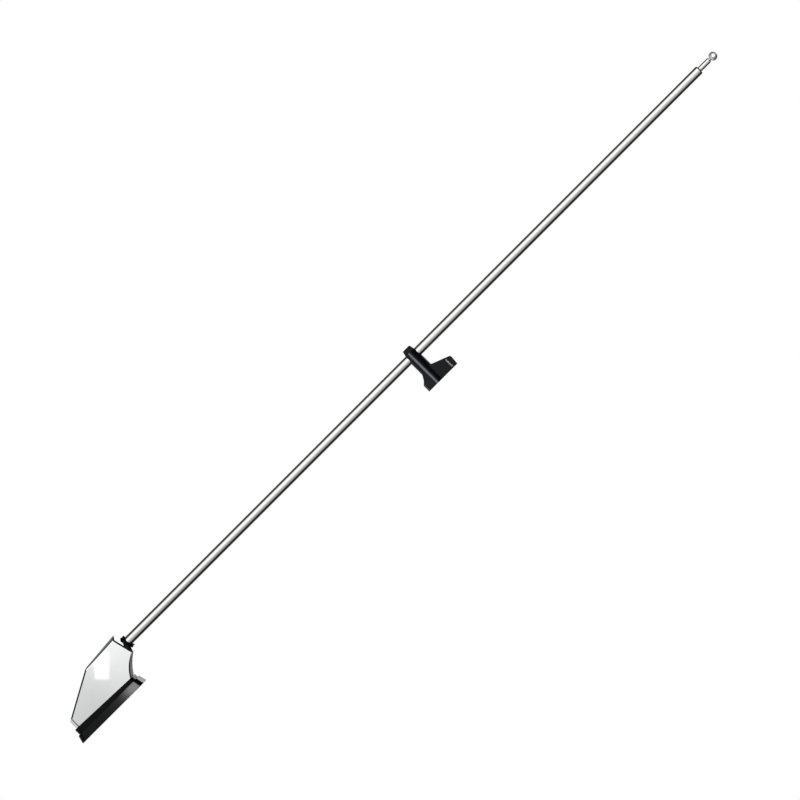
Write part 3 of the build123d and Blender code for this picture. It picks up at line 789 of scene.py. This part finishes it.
class AERIAL_OT_mast_collar(bpy.types.Operator):
    """Make the dished rubber collar, which follows the slope and the crown of the cover's end"""

    bl_idname = "aerial.mast_collar"
    bl_label = "Mast collar"

    def execute(self, context):
        sizes = context.scene.aerial_collar
        crest = foot_of("mast_grommet") + sizes.seat_depth
        bore, rim, sleeve = sizes.bore_width / 2, sizes.width / 2, sizes.sleeve_width / 2
        corners = [
            (rim - 0.1 * MM, -0.5 * MM, 0.1 * MM),
            (rim, 0.2 * MM, 0.3 * MM),
            (rim - 0.25 * MM, 1.1 * MM, 0.4 * MM),
            (rim, sizes.height, 0.45 * MM),
            (rim - 0.75 * MM, sizes.height, 0.25 * MM),
            (bore + 0.35 * MM, sizes.height - sizes.dish, 0.25 * MM),
            (bore, sizes.height - sizes.dish - 0.1 * MM, 0.05 * MM),
            (bore, -3.2 * MM, 0.1 * MM),
            (sleeve, -3.2 * MM, 0.1 * MM),
            (sleeve, -0.5 * MM, 0.1 * MM),
        ]
        middle = reach_of("mast_tube")
        sides = context.scene.aerial_mast.sides
        mesh = turned_mesh("mast_collar", rounded_outline(corners), sides, middle, closed=True)
        slope, rim_slope = math.tan(math.radians(sizes.tilt)), math.tan(math.radians(sizes.rim_tilt))
        for vertex in mesh.vertices:
            x, y, _ = vertex.co
            above = max(0.0, vertex.co.z) / sizes.height
            rise = (y - middle) * (slope + above * (rim_slope - slope))
            sag = x * x / (2 * sizes.crown) + above * sizes.saddle * (x / rim) ** 2
            vertex.co.z += crest + rise - sag
        set_down(add_object("mast_collar", mesh), "base", "pad_rubber", "mast_grommet")
        return {"FINISHED"}


class AERIAL_OT_base_mouldings(bpy.types.Operator):
    """Make the wedge-shaped plate and the carrier with rounded edges"""

    bl_idname = "aerial.base_mouldings"
    bl_label = "Base mouldings"

    def execute(self, context):
        sizes = context.scene.aerial_moulding
        plate = rounded_copy("base_plate", "wedge_plate", sizes.plate, sizes.steps)
        set_down(plate, "base", "black_moulding", "base_plate")
        carrier = rounded_copy("base_carrier", "mast_carrier", sizes.carrier, 2)
        set_down(carrier, "base", "black_moulding", "base_carrier")
        return {"FINISHED"}


class AERIAL_OT_base_cover(bpy.types.Operator):
    """Plate the cover, whose shape is the CAD node's own"""

    bl_idname = "aerial.base_cover"
    bl_label = "Base cover"

    def execute(self, context):
        coat_cad_node("base_cover", "bright_chrome")
        return {"FINISHED"}


def one_cover_screw(sizes):
    """Mesh of one screw with its head's face at height zero and its shank above."""
    head, shank = sizes.head_width / 2, sizes.shank_width / 2
    reach = top_of("cover_screws") - foot_of("cover_screws")
    corners = [
        (0.0, 0.05 * MM, 0.0),
        (0.6 * head, 0.06 * MM, 0.3 * MM),
        (head, 0.14 * MM, 0.12 * MM),
        (head, sizes.head_height, 0.05 * MM),
        (shank, sizes.head_height + 0.1 * MM, 0.03 * MM),
    ]
    outline = rounded_outline(corners, steps=3, closed=False)
    height = sizes.head_height + 0.6 * MM
    while height < reach - 2 * sizes.thread_pitch:
        outline.append(Vector((shank, height)))
        outline.append(Vector((shank * 0.84, height + sizes.thread_pitch / 2)))
        height += sizes.thread_pitch
    outline += [Vector((shank, height)), Vector((shank * 0.6, reach)), Vector((0.0, reach))]
    screw = add_object("screw_blank", turned_mesh("screw_blank", outline, 40, 0.0, closed=False))
    work = bmesh.new()
    for turn in (0.0, math.pi / 2):
        made = bmesh.ops.create_cube(work, size=1.0)["verts"]
        size = Matrix.Diagonal((sizes.recess_width, 0.6 * MM, 0.7 * MM, 1.0))
        bmesh.ops.transform(work, matrix=Matrix.Rotation(turn, 4, "Z") @ size, verts=made)
    cutter_mesh = bpy.data.meshes.new("recess_cutter")
    work.to_mesh(cutter_mesh)
    work.free()
    cutter = add_object("recess_cutter", cutter_mesh)
    cut = screw.modifiers.new("Recess", "BOOLEAN")
    cut.operation = "DIFFERENCE"
    cut.solver = "EXACT"
    cut.use_self = True
    cut.object = cutter
    cut_screw = settled(screw, "cover_screw")
    bpy.data.objects.remove(cutter)
    return cut_screw


def row_tree():
    """Geometry nodes that set a row of copies of a piece along a line."""
    tree = bpy.data.node_groups.new("Row of pieces", "GeometryNodeTree")
    sockets = [
        ("Piece", "NodeSocketGeometry"),
        ("Count", "NodeSocketInt"),
        ("First", "NodeSocketVector"),
        ("Step", "NodeSocketVector"),
        ("Finish", "NodeSocketMaterial"),
    ]
    for name, kind in sockets:
        tree.interface.new_socket(name, in_out="INPUT", socket_type=kind)
    tree.interface.new_socket("Row", in_out="OUTPUT", socket_type="NodeSocketGeometry")
    source = tree.nodes.new("NodeGroupInput")
    line = tree.nodes.new("GeometryNodeMeshLine")
    line.mode = "OFFSET"
    placed = tree.nodes.new("GeometryNodeInstanceOnPoints")
    real = tree.nodes.new("GeometryNodeRealizeInstances")
    coat = tree.nodes.new("GeometryNodeSetMaterial")
    result = tree.nodes.new("NodeGroupOutput")
    joins = [
        (source.outputs["Count"], line.inputs["Count"]),
        (source.outputs["First"], line.inputs["Start Location"]),
        (source.outputs["Step"], line.inputs["Offset"]),
        (line.outputs["Mesh"], placed.inputs["Points"]),
        (source.outputs["Piece"], placed.inputs["Instance"]),
        (placed.outputs["Instances"], real.inputs["Geometry"]),
        (real.outputs["Geometry"], coat.inputs["Geometry"]),
        (source.outputs["Finish"], coat.inputs["Material"]),
        (coat.outputs["Geometry"], result.inputs["Row"]),
    ]
    for start, end in joins:
        tree.links.new(start, end)
    return tree


def set_input(modifier, name, value):
    """Sets a modifier's named input through its socket's identifier."""
    for item in modifier.node_group.interface.items_tree:
        if item.item_type == "SOCKET" and item.in_out == "INPUT" and item.name == name:
            modifier[item.identifier] = value
            return
    raise ValueError(f"the tree has no input named {name}")


class AERIAL_OT_cover_screws(bpy.types.Operator):
    """Set the cross-recessed screws in a row across the cover's lower end"""

    bl_idname = "aerial.cover_screws"
    bl_label = "Cover screws"

    def execute(self, context):
        sizes = context.scene.aerial_screws
        low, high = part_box("cover_screws")
        screw = one_cover_screw(sizes)
        row = screw.modifiers.new("Row", "NODES")
        row.node_group = row_tree()
        first = Vector((low.x + sizes.head_width / 2, (low.y + high.y) / 2, low.z))
        last = Vector((high.x - sizes.head_width / 2, first.y, first.z))
        set_input(row, "Count", sizes.count)
        set_input(row, "First", first)
        set_input(row, "Step", (last - first) / max(1, sizes.count - 1))
        set_input(row, "Finish", finish_for("plated_steel"))
        pair = settled(screw, "cover_screw_pair")
        set_down(pair, "base", "plated_steel", "cover_screws")
        return {"FINISHED"}


class AERIAL_OT_small_fittings(bpy.types.Operator):
    """Give every carried metal and nylon fitting its finish"""

    bl_idname = "aerial.small_fittings"
    bl_label = "Small fittings"

    def execute(self, context):
        for entry in frame["record"]["subparts"]:
            if not frame["nodes"][entry["node"]].hide_render:
                coat_cad_node(entry["node"], entry["material_slot"])
        return {"FINISHED"}


# ---- stage ------------------------------------------------------------------
BLUISH = (0.80, 0.88, 1.0)
DARK = 0.02
PATCH_AT = (-6.6, -4.9)
PATCH_HALF = (2.7, 1.36)
WALLS = [
    (-180, 0.22, (1.00, 1.00, 1.00)),
    (-150, 0.20, (1.00, 1.00, 1.00)),
    (-128, 0.10, (1.00, 1.00, 1.00)),
    (-112, 0.02, (1.00, 1.00, 0.98)),
    (-95, 0.02, (1.00, 1.00, 0.98)),
    (-80, 0.12, (1.00, 1.00, 0.98)),
    (-65, 0.60, (1.00, 1.00, 0.98)),
    (-52, 1.25, (1.00, 1.00, 0.98)),
    (-40, 1.50, (1.00, 1.00, 0.99)),
    (-16, 1.32, (1.00, 1.00, 0.99)),
    (-5, 1.05, (0.99, 1.00, 0.98)),
    (7, 0.80, (0.99, 1.00, 0.97)),
    (18, 0.62, (1.00, 1.01, 0.94)),
    (30, 0.60, (1.00, 1.01, 0.92)),
    (42, 0.44, (1.00, 1.01, 0.91)),
    (55, 0.24, (1.00, 1.01, 0.90)),
    (68, 0.08, (1.00, 1.00, 0.90)),
    (83, 0.00, (1.00, 1.00, 0.90)),
    (99, 0.00, (1.00, 1.00, 0.90)),
    (119, 0.04, (1.00, 1.00, 0.95)),
    (147, 0.35, (1.00, 1.00, 1.00)),
    (180, 0.22, (1.00, 1.00, 1.00)),
]


def softbox(recipe, turn, lift, middle, slant, half, edge):
    """Mask of a tilted rectangular softbox, from its heading, its lift and its half sizes in degrees."""
    along_turn, along_lift = math.cos(math.radians(slant)), math.sin(math.radians(slant))
    aside, above = turn - middle[0], lift - middle[1]
    along = (aside * along_turn + above * along_lift).size()
    beside = (above * along_turn - aside * along_lift).size()
    mask = recipe.between(along, half[0] - edge, half[0] + edge, 1.0, 0.0)
    return mask * recipe.between(beside, half[1] - edge, half[1] + edge, 1.0, 0.0)


def studio_light(recipe, strength):
    """A soft round studio: white behind the object, and walls of changing brightness round it."""
    most = max(level for _, level, _ in WALLS)
    heading = recipe.wire("ShaderNodeTexCoord", "Generated")
    parts = recipe.node("ShaderNodeSeparateXYZ", None, {0: heading})
    across, ahead, up = (Wire(recipe, parts.outputs[name]) for name in ("Y", "X", "Z"))
    turn = across.atan2(ahead) * (180 / math.pi)
    lift = up.asin() * (180 / math.pi)
    stops = []
    for angle, level, tint in WALLS:
        stops.append(((angle + 180) / 360, tuple(level / most * part for part in tint) + (1.0,)))
    ramp = {"stops": stops, "blending": "LINEAR"}
    walls = recipe.wire("ShaderNodeValToRGB", "Color", ramp, {0: (turn + 180) / 360})
    front_low = recipe.between(lift, -12, -1, 0.78, 1.0)
    corner = recipe.between(turn, -11, -17) * recipe.between(lift, -10, -15)
    corner = corner.greater(recipe.between(lift, -18, -21))
    level = front_low * (1 - corner) + corner * DARK
    level = level + softbox(recipe, turn, lift, PATCH_AT, 135, PATCH_HALF, 0.35) * 0.5
    roof = recipe.between(lift, 11, 14)
    level = level * (1 - roof) + roof * DARK
    behind = recipe.between(turn.size(), 148, 160) * recipe.between(lift, 4, 9)
    behind = behind * recipe.between(lift, 78, 68) * 1.25
    rear = recipe.between(turn.size(), 122, 135) * recipe.between(lift, -9, -14) * 0.6
    under = recipe.between(lift, -38, -44) * 0.7
    behind = behind + rear.greater(under)
    kind = "ShaderNodeBackground"
    white = (1, 1, 1, 1)
    glow = recipe.wire(kind, 0, None, {"Color": walls, "Strength": level * (strength * most)})
    over = recipe.wire(kind, 0, None, {"Color": white, "Strength": behind * strength})
    lit = recipe.wire("ShaderNodeAddShader", 0, None, {0: glow, 1: over})
    plain = recipe.wire(kind, 0, None, {"Color": white, "Strength": 1.0})
    seen = recipe.wire("ShaderNodeLightPath", "Is Camera Ray")
    both = recipe.wire("ShaderNodeMixShader", 0, None, {0: seen, 1: lit, 2: plain})
    recipe.node("ShaderNodeOutputWorld", None, {"Surface": both})


def add_lamp(name, place, aim, size, power, pieces):
    """A soft oval lamp that the camera doesn't see and that lights the named pieces only."""
    light = bpy.data.lights.new(name, "AREA")
    light.shape = "ELLIPSE"
    light.size, light.size_y = size
    light.energy = power
    lamp = bpy.data.objects.new(name, light)
    turn = (aim - place).to_track_quat("-Z", "Y").to_matrix().to_4x4()
    lamp.matrix_world = Matrix.Translation(place) @ turn
    lamp.visible_camera = False
    lit = bpy.data.collections.new(name + " pieces")
    for piece in pieces:
        if piece in bpy.data.objects:
            lit.objects.link(bpy.data.objects[piece])
    lamp.light_linking.receiver_collection = lit
    bpy.context.scene.collection.objects.link(lamp)
    return lamp


class AERIAL_OT_stage(bpy.types.Operator):
    """Set the pale floor, the soft studio light and the camera"""

    bl_idname = "aerial.stage"
    bl_label = "Stage"

    def execute(self, context):
        scene = context.scene
        sizes = scene.aerial_stage
        world = bpy.data.worlds.new("Studio")
        scene.world = world
        studio_light(Recipe(world), sizes.studio)
        rim = sizes.floor_radius
        height = sizes.floor_height
        foot = height - 4 * MM
        corners = [(0.0, foot, 0), (rim, foot, MM), (rim, height, MM), (0.0, height, 0)]
        outline = rounded_outline(corners, steps=4, closed=False)
        middle = reach_of("mast_tube")
        floor = add_object("studio_floor", turned_mesh("studio_floor", outline, 128, middle, closed=False))
        floor.data.materials.append(finish_for("floor_paint"))
        floor.visible_glossy = False
        lens = bpy.data.cameras.new("Studio camera")
        lens.lens = sizes.focal_length
        lens.sensor_width = 36.0
        lens.clip_start = 0.05
        lens.clip_end = 50.0
        camera = bpy.data.objects.new("Studio camera", lens)
        eye = (sizes.camera_distance, sizes.camera_reach, sizes.camera_height)
        slant = math.sqrt(0.5)
        turn = Matrix(((0, 0, 1), (slant, -slant, 0), (slant, slant, 0))).to_4x4()
        camera.matrix_world = Matrix.Translation(eye) @ turn
        scene.collection.objects.link(camera)
        scene.camera = camera
        pad_low, pad_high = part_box("base_gasket")
        pad_end = Vector((pad_high.x, pad_low.y / 2, pad_high.z - 0.004))
        place = pad_end + Vector((0.196, -0.0955, -0.031))
        add_lamp("Pad lamp", place, pad_end, (0.014, 0.014), sizes.pad_lamp, ["base_pad"])
        low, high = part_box("stand_off_liner")
        column = Vector((high.x, low.y / 2, (low.z + high.z) / 2))
        place = column + Vector((0.15, 0.0, -0.08))
        pieces = ["stand_off_moulding", "foot_sleeve"]
        lamp = add_lamp("Column lamp", place, column, (0.06, 0.11), sizes.column_lamp, pieces)
        lamp.data.color = BLUISH
        tip = Vector((0.0, reach_of("tip_ball"), top_of("tip_ball")))
        place = tip + Vector((0.15, -0.03, 0.04))
        add_lamp("Tip lamp", place, tip, (0.15, 0.15), sizes.tip_lamp, ["safety_ball"])
        scene.view_settings.view_transform = "Standard"
        return {"FINISHED"}


class AERIAL_PT_pieces(bpy.types.Panel):
    """Lists the aerial's pieces and their settings"""

    bl_idname = "AERIAL_PT_pieces"
    bl_label = "Aerial"
    bl_space_type = "VIEW_3D"
    bl_region_type = "UI"
    bl_category = "Aerial"

    def draw(self, context):
        for operator in OPERATORS:
            self.layout.operator(operator.bl_idname)
        for name, group in GROUPS.items():
            box = self.layout.box()
            box.label(text=group.__doc__)
            for setting in group.__annotations__:
                box.prop(getattr(context.scene, name), setting)


OPERATORS = (
    AERIAL_OT_mast_tube,
    AERIAL_OT_middle_tube,
    AERIAL_OT_tip_ball,
    AERIAL_OT_stand_off,
    AERIAL_OT_base_rubber,
    AERIAL_OT_mast_collar,
    AERIAL_OT_base_mouldings,
    AERIAL_OT_base_cover,
    AERIAL_OT_cover_screws,
    AERIAL_OT_small_fittings,
    AERIAL_OT_stage,
)
CLASSES = tuple(GROUPS.values()) + OPERATORS + (AERIAL_PT_pieces,)


def register():
    """Adds the classes and hangs the settings on the scene."""
    for kind in CLASSES:
        bpy.utils.register_class(kind)
    for name, group in GROUPS.items():
        setattr(bpy.types.Scene, name, PointerProperty(type=group))


def unregister():
    """Takes the settings and the classes away again."""
    for name in GROUPS:
        delattr(bpy.types.Scene, name)
    for kind in reversed(CLASSES):
        bpy.utils.unregister_class(kind)


def main():
    """Makes every piece and the stage."""
    register()
    bpy.ops.aerial.mast_tube()
    bpy.ops.aerial.middle_tube()
    bpy.ops.aerial.tip_ball()
    bpy.ops.aerial.stand_off()
    bpy.ops.aerial.base_rubber()
    bpy.ops.aerial.mast_collar()
    bpy.ops.aerial.base_mouldings()
    bpy.ops.aerial.base_cover()
    bpy.ops.aerial.cover_screws()
    bpy.ops.aerial.small_fittings()
    bpy.ops.aerial.stage()


if __name__ == "__main__":
    main()
